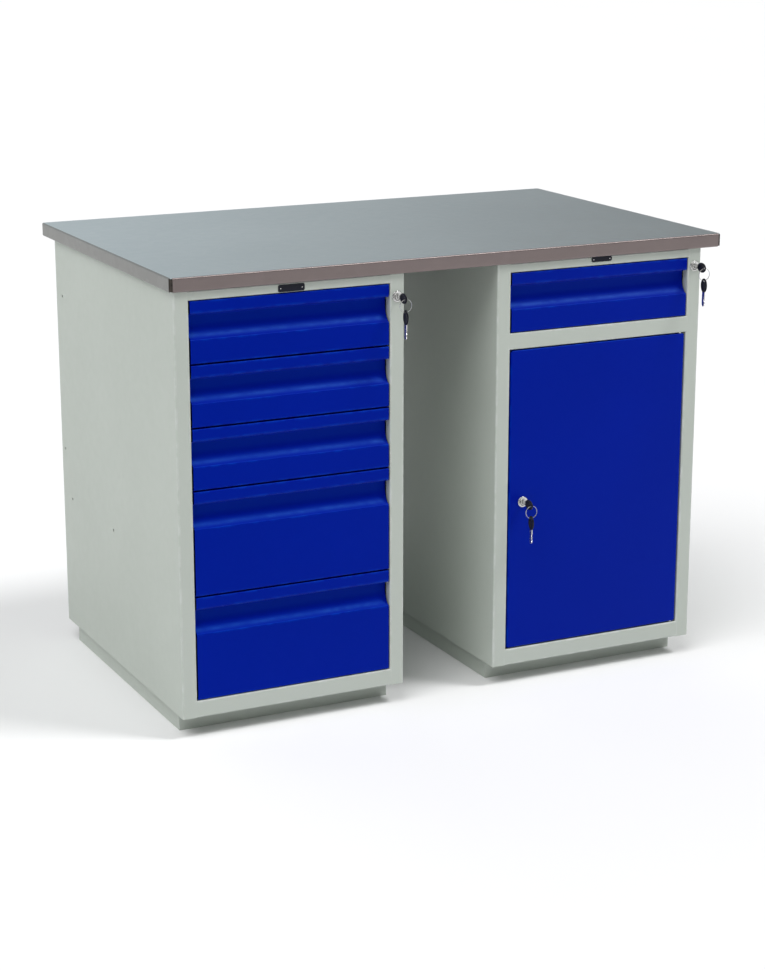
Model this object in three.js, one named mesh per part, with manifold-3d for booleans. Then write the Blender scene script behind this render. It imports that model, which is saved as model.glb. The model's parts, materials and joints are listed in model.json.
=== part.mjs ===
// Two-pedestal workbench: a steel-clad worktop on a five-drawer cabinet and on a cabinet with
// one drawer above a door. Three cam locks carry a key, and a split ring with a spare key.
// Millimetres, +Z up, the fronts face -Y. The origin is on the floor, under the middle of the
// whole envelope, keys included.

import * as THREE from 'three';
import { mergeVertices } from 'three/addons/utils/BufferGeometryUtils.js';
import Module from 'manifold-3d';

const wasm = await Module();
wasm.setup();

// ---- Driving dimensions ----

const GAP = 0.3; // air between pieces that touch
const OVERLAP = 0.5; // how far joined solids run into each other

const BENCH_WIDTH = 1200;
const BENCH_HEIGHT = 900;
const WORKTOP_DEPTH = 750;
const WORKTOP_THICKNESS = 27;
const WORKTOP_SHEET = 1.5;
const WORKTOP_LIP = 14; // the cladding's edge turned in under the board
const WORKTOP_SEAM = 6; // open seam at each folded corner
const WORKTOP_FRONT_OVERHANG = 6;

const CABINET_WIDTH = 472;
const CABINET_DEPTH = 685;
const CABINET_SHEET = 1.5;
const LEFT_CABINET_INSET = 8; // from the worktop's left end
const RIGHT_CABINET_INSET = 44; // from the worktop's right end

const STILE = 30; // face width of the cabinet front beside the opening
const STILE_RETURN = 18;
const TOP_RAIL = 18;
const MIDDLE_RAIL = 33;
const BOTTOM_RAIL = 34;
const RAIL_RETURN = 14;
const RAIL_LAP = 10; // how far the folded rail runs back along the sheet that carries it
const REAR_FLANGE = 25;

const PLINTH_HEIGHT = 42;
const PLINTH_INSET_FRONT = 54;
const PLINTH_INSET_REAR = 32;
const PLINTH_INSET_SIDES = 12;
const PLINTH_FLANGE = 22;

const SMALL_DRAWER_PITCH = 121;
const LARGE_DRAWER_PITCH = 208;
const FRONT_GAP = 1.5; // air above and below each drawer front
const FRONT_SIDE_GAP = 2.5;
const DRAWER_SHEET = 1.2;
const FRONT_RETURN = 15;
const GRIP_BAND = 25; // flat band above the finger grip
const GRIP_BACK = 16; // from the flat band to the lower end of the grip's upright back
const GRIP_SLOPE = 32; // height of the hollow slope below it
const GRIP_DEPTH = 17.5;
const GRIP_ROUND = 7; // radius between the grip's ceiling and its back
const GRIP_STEPS = 4; // straight pieces in each of the grip's two arcs

const TRAY_HALF_WIDTH = 190;
const TRAY_FRONT = 19;
const TRAY_BACK = 620;
const TRAY_FLOOR = 6; // above the lower edge of the front
const TRAY_BELOW_TOP = 38; // from the top of the front to the top of the tray
const HEM_WIDTH = 13;
const HEM_DROP = 8;
const HEM_FRONT = 30;
const RUNNER_SHEET = 2;
const RUNNER_REACH = 194; // inner edge of the runner, from the cabinet's middle
const RUNNER_FRONT = 40;
const RUNNER_BACK = 670;
const RUNNER_PLAY = 0.4;

const DOOR_DEPTH = 18;
const DOOR_FACE = 0.5; // how far the door's face sits behind the stiles
const DOOR_GAP = 2.5;
const DOOR_SIDE_GAP = 3;
const DOOR_LIP = 20;
const HINGE_INSET = 8; // hinge axis, in from the door's edge
const HINGE_BACK = 6; // hinge axis, behind the cabinet's front
const HINGE_PIN_RADIUS = 3;
const HINGE_PIN_INSIDE = 12; // length inside the door
const HINGE_PIN_OUTSIDE = 9;
const HINGE_COLLAR_RADIUS = 3.7;
const HINGE_COLLAR = 2;
const SHELF_TOP = 400;
const SHELF_EDGE = 20;
const SHELF_FRONT = 45;
const SHELF_BACK = 660;

const LOCK_FLANGE_RADIUS = 11;
const LOCK_FLANGE = 2.2;
const LOCK_FLANGE_CHAMFER = 1;
const LOCK_BODY_RADIUS = 9;
const LOCK_BODY_LENGTH = 18;
const PLUG_RADIUS = 5.8;
const PLUG_PROUD = 3; // how far the plug stands in front of the stile
const CAM_THICKNESS = 2.5;
const CAM_HALF_WIDTH = 6;
const CAM_STEPS = 6; // straight pieces in each of a cam's round ends
const LEFT_LOCK_HEIGHT = 829;
const RIGHT_LOCK_HEIGHT = 837;
const DOOR_LOCK_HEIGHT = 386;
const DOOR_LOCK_INSET = 31; // from the door's free edge
const DRAWER_CAM_LENGTH = 22;
const DOOR_CAM_LENGTH = 40;
const CRANK_LENGTH = 8;
const CRANK_HALF_WIDTH = 5;
const CRANK_ANGLE = Math.PI / 4; // above the horizontal, unlocked
const CRANK_PIN_RADIUS = 2;
const CRANK_PIN_LENGTH = 4.5;

const BOW_LENGTH = 29;
const BOW_WIDTH = 20;
const BOW_THICKNESS = 3;
const BOW_STEPS = 10; // straight pieces in each curve of the bow
const BOW_HOLE_RADIUS = 2.6;
const BOW_HOLE_INSET = 4.5;
const BLADE_WIDTH = 8.4;
const BLADE_THICKNESS = 2.2;
const BLADE_LENGTH = 28.5;
const BLADE_ROOT = 2; // how far the blade runs into the bow
const KEY_STANDOFF = 12.5; // from the stile to the bow
const RING_RADIUS = 12.5;
const RING_WIRE = 0.9;
const KEYWAY_DEPTH = 17;

const BAR_FRONT = 23;
const BAR_SHEET = 2;
const BAR_INNER_EDGE = 9; // from the lock's axis towards the drawers
const BAR_OUTER_EDGE = 3;
const BAR_HEAD_REACH = 12.5; // the widened head, outwards from the lock's axis
const BAR_HEAD_HALF = 12;
const HOOK_HEIGHT = 50; // above the lower edge of each drawer front
const HOOK_SIZE = 8;
const HOOK_CLEARANCE = 3; // from a hook's end to the tray's side
const CATCH_HEIGHT = 36;
const CATCH_SIZE = 10;
const CATCH_SHEET = 1.5;
const CATCH_REACH = 10; // how far a catch stands out from the tray's side

const FIXING_HOLE_RADIUS = 3.2;
const FIXING_HOLES = [[647, 759], [662, 428], [627, 325], [370, 324]]; // [y, z]
const DRILL_REACH = 3; // how far a drilled hole's tool runs past the middle of the sheet
const ROUND = 24; // sides of a round piece

// ---- Places worked out from them ----

const WORKTOP_BOTTOM = BENCH_HEIGHT - WORKTOP_THICKNESS;
const CABINET_TOP = WORKTOP_BOTTOM - GAP;
const HALF_CABINET = CABINET_WIDTH / 2;
const HALF_OPENING = HALF_CABINET - STILE;
const INNER_HALF = HALF_CABINET - CABINET_SHEET - GAP;
const LEFT_CENTRE = -BENCH_WIDTH / 2 + LEFT_CABINET_INSET + HALF_CABINET;
const RIGHT_CENTRE = BENCH_WIDTH / 2 - RIGHT_CABINET_INSET - HALF_CABINET;
const OPENING_BOTTOM = PLINTH_HEIGHT + BOTTOM_RAIL;
const OPENING_TOP = WORKTOP_BOTTOM - TOP_RAIL;
const RAIL_TOP = OPENING_TOP - SMALL_DRAWER_PITCH;
const RAIL_BOTTOM = RAIL_TOP - MIDDLE_RAIL;
const STILE_LOCK = HALF_CABINET - STILE / 2; // lock axis, from the cabinet's middle
const DOOR_HALF = HALF_OPENING - DOOR_SIDE_GAP;
const DOOR_BOTTOM = OPENING_BOTTOM + DOOR_GAP;
const DOOR_TOP = RAIL_BOTTOM - DOOR_GAP;
const DOOR_LOCK = -DOOR_HALF + DOOR_LOCK_INSET;
const HINGE_X = DOOR_HALF - HINGE_INSET;
const KEY_HOLE_Y = -(KEY_STANDOFF + BOW_LENGTH - BOW_HOLE_INSET);
const CAM_FRONT = LOCK_BODY_LENGTH + 1;

const ENVELOPE_FRONT = KEY_HOLE_Y - BOW_WIDTH / 2;
const ENVELOPE_BACK = WORKTOP_DEPTH - WORKTOP_FRONT_OVERHANG;

// The drawers of the left cabinet, from the top: pitch of each front.
const LEFT_DRAWER_PITCHES = [
  SMALL_DRAWER_PITCH, SMALL_DRAWER_PITCH, SMALL_DRAWER_PITCH,
  LARGE_DRAWER_PITCH, LARGE_DRAWER_PITCH,
];

// ---- Materials ----

function metal(color, roughness, metalness) {
  return new THREE.MeshStandardMaterial({ color, roughness, metalness });
}

const greyPaint = () => metal(0xc9cdc8, 0.55, 0.1);
const bluePaint = () => metal(0x0a1f96, 0.5, 0.1);
const zincSheet = () => metal(0xa3b1b5, 0.35, 0.9);
const brightSteel = () => metal(0xc8cacc, 0.25, 1);
const greyZinc = () => metal(0x9a9ea0, 0.45, 0.9);
const chipboard = () => metal(0xb08d62, 0.85, 0);
const blackPlastic = () => metal(0x15151a, 0.4, 0);

// ---- Shape helpers ----

function box(x0, x1, y0, y1, z0, z1) {
  const geometry = new THREE.BoxGeometry(x1 - x0, y1 - y0, z1 - z0);
  return geometry.translate((x0 + x1) / 2, (y0 + y1) / 2, (z0 + z1) / 2);
}

function extrude(shape, length, curveSegments = 12) {
  return new THREE.ExtrudeGeometry(shape, { depth: length, bevelEnabled: false, curveSegments });
}

// An outline in (y, z), run from x0 to x1.
function extrudeAlongX(shape, x0, x1, curveSegments) {
  const turn = new THREE.Matrix4().makeBasis(
    new THREE.Vector3(0, 1, 0), new THREE.Vector3(0, 0, 1), new THREE.Vector3(1, 0, 0));
  return extrude(shape, x1 - x0, curveSegments).applyMatrix4(turn).translate(x0, 0, 0);
}

// An outline in (x, z), run from y0 to y1.
function extrudeAlongY(shape, y0, y1, curveSegments) {
  const turn = new THREE.Matrix4().makeBasis(
    new THREE.Vector3(1, 0, 0), new THREE.Vector3(0, 0, 1), new THREE.Vector3(0, -1, 0));
  return extrude(shape, y1 - y0, curveSegments).applyMatrix4(turn).translate(0, y1, 0);
}

// An outline in (x, y), run from z0 to z1.
function extrudeAlongZ(shape, z0, z1) {
  return extrude(shape, z1 - z0).translate(0, 0, z0);
}

// The section of a sheet folded along a path of points. Its thickness lies left of the path.
function foldedSheet(path, thickness) {
  const points = path.map(([a, b]) => new THREE.Vector2(a, b));
  const normals = points.slice(1).map((point, i) => {
    const along = point.clone().sub(points[i]).normalize();
    return new THREE.Vector2(-along.y, along.x);
  });
  const inner = points.map((point, i) => {
    const before = normals[Math.max(i - 1, 0)];
    const after = normals[Math.min(i, normals.length - 1)];
    const mitre = before.clone().add(after).divideScalar(1 + before.dot(after));
    return point.clone().addScaledVector(mitre, thickness);
  });
  return new THREE.Shape([...points, ...inner.reverse()]);
}

// Points of an arc about (a, b), both ends included.
function arcPoints(a, b, radius, from, to, steps) {
  return Array.from({ length: steps + 1 }, (_, i) => {
    const angle = from + (to - from) * i / steps;
    return [a + radius * Math.cos(angle), b + radius * Math.sin(angle)];
  });
}

function mirrored(path) {
  return path.map(([a, b]) => [-a, b]).reverse();
}

function rodAlongY(radius, y0, y1, x = 0, z = 0) {
  const geometry = new THREE.CylinderGeometry(radius, radius, y1 - y0, ROUND);
  return geometry.translate(x, (y0 + y1) / 2, z);
}

function rodAlongX(radius, x0, x1, y, z) {
  const geometry = new THREE.CylinderGeometry(radius, radius, x1 - x0, ROUND / 2);
  return geometry.rotateZ(Math.PI / 2).translate((x0 + x1) / 2, y, z);
}

function rodAlongZ(radius, z0, z1, x, y) {
  const geometry = new THREE.CylinderGeometry(radius, radius, z1 - z0, ROUND);
  return geometry.rotateX(Math.PI / 2).translate(x, y, (z0 + z1) / 2);
}

// ---- Joining and cutting ----

function solidOf(geometry) {
  const bare = geometry.clone();
  bare.deleteAttribute('normal');
  bare.deleteAttribute('uv');
  const merged = mergeVertices(bare);
  return new wasm.Manifold(new wasm.Mesh({
    numProp: 3,
    vertProperties: new Float32Array(merged.attributes.position.array),
    triVerts: new Uint32Array(merged.index.array),
  }));
}

function geometryOf(solid) {
  const mesh = solid.getMesh();
  const geometry = new THREE.BufferGeometry();
  geometry.setAttribute('position', new THREE.BufferAttribute(mesh.vertProperties, 3));
  geometry.setIndex(new THREE.BufferAttribute(mesh.triVerts, 1));
  geometry.computeVertexNormals();
  return geometry;
}

function join(...geometries) {
  return geometryOf(geometries.map(solidOf).reduce((whole, piece) => whole.add(piece)));
}

function cut(geometry, ...tools) {
  return geometryOf(tools.map(solidOf).reduce((rest, tool) => rest.subtract(tool), solidOf(geometry)));
}

function piece(name, geometry, material) {
  const mesh = new THREE.Mesh(geometry, material);
  mesh.name = name;
  return mesh;
}

function groupAt(x, y, z, ...children) {
  const group = new THREE.Group();
  group.position.set(x, y, z);
  group.add(...children);
  return group;
}

// ---- Worktop ----

function worktopBoard() {
  const inset = WORKTOP_SHEET + GAP;
  const x = BENCH_WIDTH / 2 - inset;
  return piece('worktop_board', box(
    -x, x, inset - WORKTOP_FRONT_OVERHANG, ENVELOPE_BACK - inset,
    WORKTOP_BOTTOM + inset, BENCH_HEIGHT - inset), chipboard());
}

// The cladding: a sheet folded down over the board's four edges and in under it, with the
// corners left open as a narrow seam.
function worktopCover() {
  const x = BENCH_WIDTH / 2;
  const y0 = -WORKTOP_FRONT_OVERHANG;
  const y1 = ENVELOPE_BACK;
  const s = WORKTOP_SHEET;
  const below = WORKTOP_BOTTOM - OVERLAP;
  const hollow = box(-x + s, x - s, y0 + s, y1 - s, WORKTOP_BOTTOM + s, BENCH_HEIGHT - s);
  const mouth = box(
    -x + WORKTOP_LIP, x - WORKTOP_LIP, y0 + WORKTOP_LIP, y1 - WORKTOP_LIP,
    below, WORKTOP_BOTTOM + s + OVERLAP);
  const seams = [];
  const reach = WORKTOP_SEAM;
  for (const side of [-1, 1]) {
    for (const [edge, inward] of [[y0, 1], [y1, -1]]) {
      seams.push(box(
        side * x - reach, side * x + reach, edge - reach, edge + reach, below, BENCH_HEIGHT - s));
      const bevel = new THREE.Shape([
        new THREE.Vector2(side * x, edge),
        new THREE.Vector2(side * (x - WORKTOP_LIP - s), edge),
        new THREE.Vector2(side * x, edge + inward * (WORKTOP_LIP + s)),
      ]);
      seams.push(extrudeAlongZ(bevel, below, WORKTOP_BOTTOM + s));
    }
  }
  const sheet = cut(box(-x, x, y0, y1, WORKTOP_BOTTOM, BENCH_HEIGHT), hollow, mouth, ...seams);
  return piece('worktop_cover', sheet, zincSheet());
}

// ---- Cabinet shells ----

// A side: face of the stile, skin and rear flange in one folded sheet. side is -1 or 1.
function cabinetSide(name, side, holes) {
  const path = [
    [HALF_OPENING, STILE_RETURN], [HALF_OPENING, 0], [HALF_CABINET, 0],
    [HALF_CABINET, CABINET_DEPTH], [HALF_CABINET - REAR_FLANGE, CABINET_DEPTH],
  ];
  const section = foldedSheet(side > 0 ? path : mirrored(path), CABINET_SHEET);
  const sheet = extrudeAlongZ(section, PLINTH_HEIGHT, CABINET_TOP);
  return piece(name, holes.length ? cut(sheet, ...holes) : sheet, greyPaint());
}

// Hole for a lock's body through the face of a stile.
function lockHole(x, z) {
  return rodAlongY(LOCK_BODY_RADIUS + GAP, -OVERLAP, CABINET_SHEET + OVERLAP, x, z);
}

// Small fixing holes near the rear edge and the middle of an outer skin.
function fixingHoles(side) {
  const x = side * HALF_CABINET;
  return FIXING_HOLES.map(
    ([y, z]) => rodAlongX(FIXING_HOLE_RADIUS, x - DRILL_REACH, x + DRILL_REACH, y, z));
}

// A sheet across the cabinet with a folded front rail between the stiles. plateLow says that
// the sheet is at the rail's lower edge, and otherwise it is at the upper one.
function railPanel(name, z0, z1, plateLow, holes = []) {
  const s = CABINET_SHEET;
  const behind = STILE_RETURN + GAP;
  const back = CABINET_DEPTH - 2 * s - 2 * GAP;
  const lap = behind + RAIL_LAP;
  const path = plateLow
    ? [[RAIL_RETURN, z1], [0, z1], [0, z0], [lap, z0]]
    : [[lap, z1], [0, z1], [0, z0], [RAIL_RETURN, z0]];
  const rail = extrudeAlongX(foldedSheet(path, s), -HALF_OPENING + GAP, HALF_OPENING - GAP);
  const plateZ = plateLow ? z0 : z1 - s;
  const plate = box(-INNER_HALF, INNER_HALF, behind, back, plateZ, plateZ + s);
  const sheet = join(rail, plate);
  return piece(name, holes.length ? cut(sheet, ...holes) : sheet, greyPaint());
}

function backPanel(name) {
  const y1 = CABINET_DEPTH - CABINET_SHEET - GAP;
  const sheet = box(-INNER_HALF, INNER_HALF, y1 - CABINET_SHEET, y1, PLINTH_HEIGHT + GAP, CABINET_TOP - GAP);
  return piece(name, sheet, greyPaint());
}

// The recessed foot: a channel bent round in a rectangle, open inwards.
function plinth(name) {
  const x = HALF_CABINET - PLINTH_INSET_SIDES;
  const y0 = PLINTH_INSET_FRONT;
  const y1 = CABINET_DEPTH - PLINTH_INSET_REAR;
  const z1 = PLINTH_HEIGHT - GAP;
  const s = CABINET_SHEET;
  const f = PLINTH_FLANGE;
  const hollow = box(-x + s, x - s, y0 + s, y1 - s, s, z1 - s);
  const mouth = box(-x + f, x - f, y0 + f, y1 - f, -OVERLAP, z1 + OVERLAP);
  return piece(name, cut(box(-x, x, y0, y1, 0, z1), hollow, mouth), greyPaint());
}

// Hole for a door pin through a rail's return at height z.
function hingeHole(z) {
  return rodAlongZ(HINGE_PIN_RADIUS + GAP, z - DRILL_REACH, z + DRILL_REACH, HINGE_X, HINGE_BACK);
}

function leftCabinet() {
  return groupAt(LEFT_CENTRE, 0, 0,
    cabinetSide('left_cabinet_outer_side', -1, fixingHoles(-1)),
    cabinetSide('left_cabinet_inner_side', 1, [lockHole(STILE_LOCK, LEFT_LOCK_HEIGHT)]),
    railPanel('left_cabinet_top', OPENING_TOP, CABINET_TOP, false),
    railPanel('left_cabinet_base', PLINTH_HEIGHT, OPENING_BOTTOM, true),
    backPanel('left_cabinet_back'),
    plinth('left_plinth'));
}

function rightCabinet() {
  return groupAt(RIGHT_CENTRE, 0, 0,
    cabinetSide('right_cabinet_inner_side', -1, []),
    cabinetSide('right_cabinet_outer_side', 1,
      [lockHole(STILE_LOCK, RIGHT_LOCK_HEIGHT), ...fixingHoles(1)]),
    railPanel('right_cabinet_top', OPENING_TOP, CABINET_TOP, false),
    railPanel('right_cabinet_divider', RAIL_BOTTOM, RAIL_TOP, false, [hingeHole(RAIL_BOTTOM)]),
    railPanel('right_cabinet_base', PLINTH_HEIGHT, OPENING_BOTTOM, true, [hingeHole(OPENING_BOTTOM)]),
    backPanel('right_cabinet_back'),
    shelf(),
    plinth('right_plinth'));
}

function shelf() {
  const edge = SHELF_TOP - SHELF_EDGE;
  const path = [[SHELF_BACK, edge], [SHELF_BACK, SHELF_TOP], [SHELF_FRONT, SHELF_TOP], [SHELF_FRONT, edge]];
  const sheet = extrudeAlongX(foldedSheet(path, CABINET_SHEET), -INNER_HALF, INNER_HALF);
  return piece('right_cabinet_shelf', sheet, greyPaint());
}

// ---- Drawers, each built on the lower edge of its front ----

// The finger grip's outer face, from its ceiling down: a small arc into the upright back, and
// an arc that leaves the back upright and meets the front's face at an edge.
function gripArcs(gripTop) {
  const slopeRadius = (GRIP_DEPTH ** 2 + GRIP_SLOPE ** 2) / (2 * GRIP_DEPTH);
  const ceiling = arcPoints(
    GRIP_DEPTH - GRIP_ROUND, gripTop - GRIP_ROUND, GRIP_ROUND, Math.PI / 2, 0, GRIP_STEPS);
  const slope = arcPoints(
    GRIP_DEPTH - slopeRadius, gripTop - GRIP_BACK, slopeRadius,
    0, -Math.asin(GRIP_SLOPE / slopeRadius), GRIP_STEPS);
  return [...ceiling, ...slope];
}

// The front: one sheet folded into a flat band, a finger grip across the whole width, and the
// flat face below it. The ends of the grip are open.
function drawerFront(name, height) {
  const gripTop = height - GRIP_BAND;
  const path = [
    [FRONT_RETURN, height], [0, height], [0, gripTop], ...gripArcs(gripTop), [0, 0], [FRONT_RETURN, 0],
  ];
  const half = HALF_OPENING - FRONT_SIDE_GAP;
  return piece(name, extrudeAlongX(foldedSheet(path, DRAWER_SHEET), -half, half), bluePaint());
}

// The tray: a box open at the top, with a folded hem along each side that slides in a runner,
// and a catch that the lock holds.
function drawerTray(name, height, catchTab) {
  const s = DRAWER_SHEET;
  const w = TRAY_HALF_WIDTH;
  const top = height - TRAY_BELOW_TOP;
  const tub = cut(
    box(-w, w, TRAY_FRONT, TRAY_BACK, TRAY_FLOOR, top),
    box(-w + s, w - s, TRAY_FRONT + s, TRAY_BACK - s, TRAY_FLOOR + s, top + OVERLAP));
  const hemPath = [[w - s / 2, top], [w + HEM_WIDTH, top], [w + HEM_WIDTH, top - HEM_DROP]].reverse();
  const hems = [hemPath, mirrored(hemPath)].map(
    path => extrudeAlongY(foldedSheet(path, s), HEM_FRONT, TRAY_BACK));
  return piece(name, join(tub, ...hems, catchTab), greyZinc());
}

// Catch below the hem, held by a hook of the lock bar.
function hookCatch() {
  const y0 = BAR_FRONT + BAR_SHEET + CATCH_SHEET;
  return box(
    TRAY_HALF_WIDTH - OVERLAP, TRAY_HALF_WIDTH + CATCH_REACH, y0, y0 + CATCH_SHEET,
    CATCH_HEIGHT, CATCH_HEIGHT + CATCH_SIZE);
}

// Ear standing above the tray's side, held by the cam of a lock at lockHeight.
function camCatch(height, lockHeight) {
  const y0 = CAM_FRONT + CAM_THICKNESS + CATCH_SHEET;
  return box(
    TRAY_HALF_WIDTH - DRAWER_SHEET, TRAY_HALF_WIDTH + CATCH_REACH, y0, y0 + CATCH_SHEET,
    height - TRAY_BELOW_TOP - CATCH_SIZE, lockHeight + CAM_HALF_WIDTH);
}

// A runner: a channel fixed to the cabinet's side, in which the tray's hem slides.
function runner(name, side, height) {
  const top = height - TRAY_BELOW_TOP + RUNNER_PLAY + RUNNER_SHEET;
  const bottom = height - TRAY_BELOW_TOP - HEM_DROP - RUNNER_PLAY - RUNNER_SHEET;
  const path = [[RUNNER_REACH, bottom], [INNER_HALF, bottom], [INNER_HALF, top], [RUNNER_REACH, top]];
  const section = foldedSheet(side > 0 ? path : mirrored(path), RUNNER_SHEET);
  return piece(name, extrudeAlongY(section, RUNNER_FRONT, RUNNER_BACK), greyZinc());
}

function drawer(name, bottom, pitch, makeCatch) {
  const height = pitch - 2 * FRONT_GAP;
  return groupAt(0, 0, bottom + FRONT_GAP,
    drawerFront(`${name}_front`, height),
    drawerTray(`${name}_tray`, height, makeCatch(height)),
    runner(`${name}_runner_left`, -1, height),
    runner(`${name}_runner_right`, 1, height));
}

// Lower edge of each left drawer's share of the opening, from the top drawer down.
function leftDrawerBottoms() {
  return LEFT_DRAWER_PITCHES.map((_, i) => {
    const used = LEFT_DRAWER_PITCHES.slice(0, i + 1).reduce((sum, pitch) => sum + pitch, 0);
    return OPENING_TOP - used;
  });
}

function leftDrawers() {
  const bottoms = leftDrawerBottoms();
  return groupAt(LEFT_CENTRE, 0, 0, ...LEFT_DRAWER_PITCHES.map(
    (pitch, i) => drawer(`left_drawer_${i + 1}`, bottoms[i], pitch, hookCatch)));
}

function rightDrawer() {
  const lockHeight = RIGHT_LOCK_HEIGHT - RAIL_TOP - FRONT_GAP;
  return groupAt(RIGHT_CENTRE, 0, 0,
    drawer('right_drawer', RAIL_TOP, SMALL_DRAWER_PITCH, height => camCatch(height, lockHeight)));
}

// ---- Door ----

function doorPanel() {
  const s = CABINET_SHEET;
  const y0 = DOOR_FACE;
  const y1 = DOOR_FACE + DOOR_DEPTH;
  const panel = box(-DOOR_HALF, DOOR_HALF, y0, y1, DOOR_BOTTOM, DOOR_TOP);
  const hollow = box(-DOOR_HALF + s, DOOR_HALF - s, y0 + s, y1 - s, DOOR_BOTTOM + s, DOOR_TOP - s);
  const mouth = box(
    -DOOR_HALF + DOOR_LIP, DOOR_HALF - DOOR_LIP, y1 - s - OVERLAP, y1 + OVERLAP,
    DOOR_BOTTOM + DOOR_LIP, DOOR_TOP - DOOR_LIP);
  const lock = rodAlongY(LOCK_BODY_RADIUS + GAP, 0, DOOR_FACE + s + OVERLAP, DOOR_LOCK, DOOR_LOCK_HEIGHT);
  return piece('door_panel',
    cut(panel, hollow, mouth, lock, hingeHole(DOOR_TOP), hingeHole(DOOR_BOTTOM)), bluePaint());
}

// A hinge pin at the door's edge at height z, pointing out of it: up (1) or down (-1). Its
// collar sits inside the door's edge.
function hingePin(name, z, direction) {
  const collarTop = -CABINET_SHEET - GAP;
  const collarFoot = collarTop - HINGE_COLLAR;
  const profile = [
    [0, -HINGE_PIN_INSIDE], [HINGE_PIN_RADIUS, -HINGE_PIN_INSIDE],
    [HINGE_PIN_RADIUS, collarFoot], [HINGE_COLLAR_RADIUS, collarFoot],
    [HINGE_COLLAR_RADIUS, collarTop], [HINGE_PIN_RADIUS, collarTop],
    [HINGE_PIN_RADIUS, HINGE_PIN_OUTSIDE], [0, HINGE_PIN_OUTSIDE],
  ];
  const geometry = new THREE.LatheGeometry(profile.map(([r, y]) => new THREE.Vector2(r, y)), ROUND);
  const pin = piece(name, geometry, brightSteel());
  pin.rotation.x = direction * Math.PI / 2;
  pin.position.set(HINGE_X, HINGE_BACK, z);
  return pin;
}

function door() {
  return groupAt(RIGHT_CENTRE, 0, 0,
    doorPanel(),
    hingePin('door_pin_top', DOOR_TOP, 1),
    hingePin('door_pin_bottom', DOOR_BOTTOM, -1));
}

// ---- Locks and keys, each built on the lock's axis at the face of the sheet ----

function lockBarrel(name) {
  const bore = PLUG_RADIUS + GAP;
  const front = -GAP - LOCK_FLANGE;
  const profile = [
    [bore, front], [LOCK_FLANGE_RADIUS - LOCK_FLANGE_CHAMFER, front],
    [LOCK_FLANGE_RADIUS, front + LOCK_FLANGE_CHAMFER], [LOCK_FLANGE_RADIUS, -GAP],
    [LOCK_BODY_RADIUS, -GAP], [LOCK_BODY_RADIUS, LOCK_BODY_LENGTH],
    [bore, LOCK_BODY_LENGTH], [bore, front],
  ];
  const geometry = new THREE.LatheGeometry(profile.map(([r, y]) => new THREE.Vector2(r, y)), ROUND);
  return piece(name, geometry, brightSteel());
}

// A cam plate behind the lock: round at the axis and at its end, pointing along angle in (x, z).
function camPlate(length, angle, halfWidth = CAM_HALF_WIDTH) {
  const shape = new THREE.Shape();
  shape.absarc(0, 0, halfWidth, angle + Math.PI / 2, angle - Math.PI / 2, false);
  const x = length * Math.cos(angle);
  const z = length * Math.sin(angle);
  shape.absarc(x, z, halfWidth, angle - Math.PI / 2, angle + Math.PI / 2, false);
  return extrudeAlongY(shape, CAM_FRONT, CAM_FRONT + CAM_THICKNESS, CAM_STEPS);
}

// The plug turns in the barrel. It has a keyway in front and its cam behind.
function lockPlug(name, cams) {
  const rod = rodAlongY(PLUG_RADIUS, -PLUG_PROUD, CAM_FRONT + CAM_THICKNESS);
  const keyway = box(
    -BLADE_THICKNESS / 2 - 2 * GAP, BLADE_THICKNESS / 2 + 2 * GAP, -PLUG_PROUD - OVERLAP, KEYWAY_DEPTH,
    -BLADE_WIDTH / 2 - GAP, BLADE_WIDTH / 2 + GAP);
  return piece(name, cut(join(rod, ...cams), keyway), brightSteel());
}

// A short cam with a drive pin, which carries the lock bar.
function crank() {
  const x = CRANK_LENGTH * Math.cos(CRANK_ANGLE);
  const z = CRANK_LENGTH * Math.sin(CRANK_ANGLE);
  const pinBack = CAM_FRONT + CAM_THICKNESS + CRANK_PIN_LENGTH;
  const plate = camPlate(CRANK_LENGTH, CRANK_ANGLE, CRANK_HALF_WIDTH);
  return [plate, rodAlongY(CRANK_PIN_RADIUS, CAM_FRONT + OVERLAP, pinBack, x, z)];
}

// A key, flat in (y, z): the middle of its bow's hole is at the origin and the blade runs +Y.
function keyGeometry() {
  const bow = new THREE.Shape();
  const middle = BOW_LENGTH / 2 - BOW_HOLE_INSET;
  bow.absellipse(middle, 0, BOW_LENGTH / 2, BOW_WIDTH / 2, 0, 2 * Math.PI, false, 0);
  const hole = new THREE.Path();
  hole.absarc(0, 0, BOW_HOLE_RADIUS, 0, 2 * Math.PI, true);
  bow.holes.push(hole);
  const bowEnd = BOW_LENGTH - BOW_HOLE_INSET;
  const blade = box(
    -BLADE_THICKNESS / 2, BLADE_THICKNESS / 2, bowEnd - BLADE_ROOT, bowEnd + BLADE_LENGTH,
    -BLADE_WIDTH / 2, BLADE_WIDTH / 2);
  return join(extrudeAlongX(bow, -BOW_THICKNESS / 2, BOW_THICKNESS / 2, BOW_STEPS), blade);
}

function lockSet(name, x, y, z, cams) {
  const key = piece(`${name}_key`, keyGeometry(), blackPlastic());
  key.position.y = KEY_HOLE_Y;
  const torus = new THREE.TorusGeometry(RING_RADIUS, RING_WIRE, ROUND / 3, ROUND);
  const ring = piece(`${name}_ring`, torus, brightSteel());
  ring.rotation.x = Math.PI / 2;
  ring.position.set(0, KEY_HOLE_Y, -RING_RADIUS);
  const spare = piece(`${name}_spare_key`, keyGeometry(), blackPlastic());
  spare.rotation.x = -Math.PI / 2;
  spare.position.set(0, KEY_HOLE_Y, -2 * RING_RADIUS);
  return groupAt(x, y, z,
    lockBarrel(`${name}_barrel`), lockPlug(`${name}_plug`, cams), key, ring, spare);
}

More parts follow.
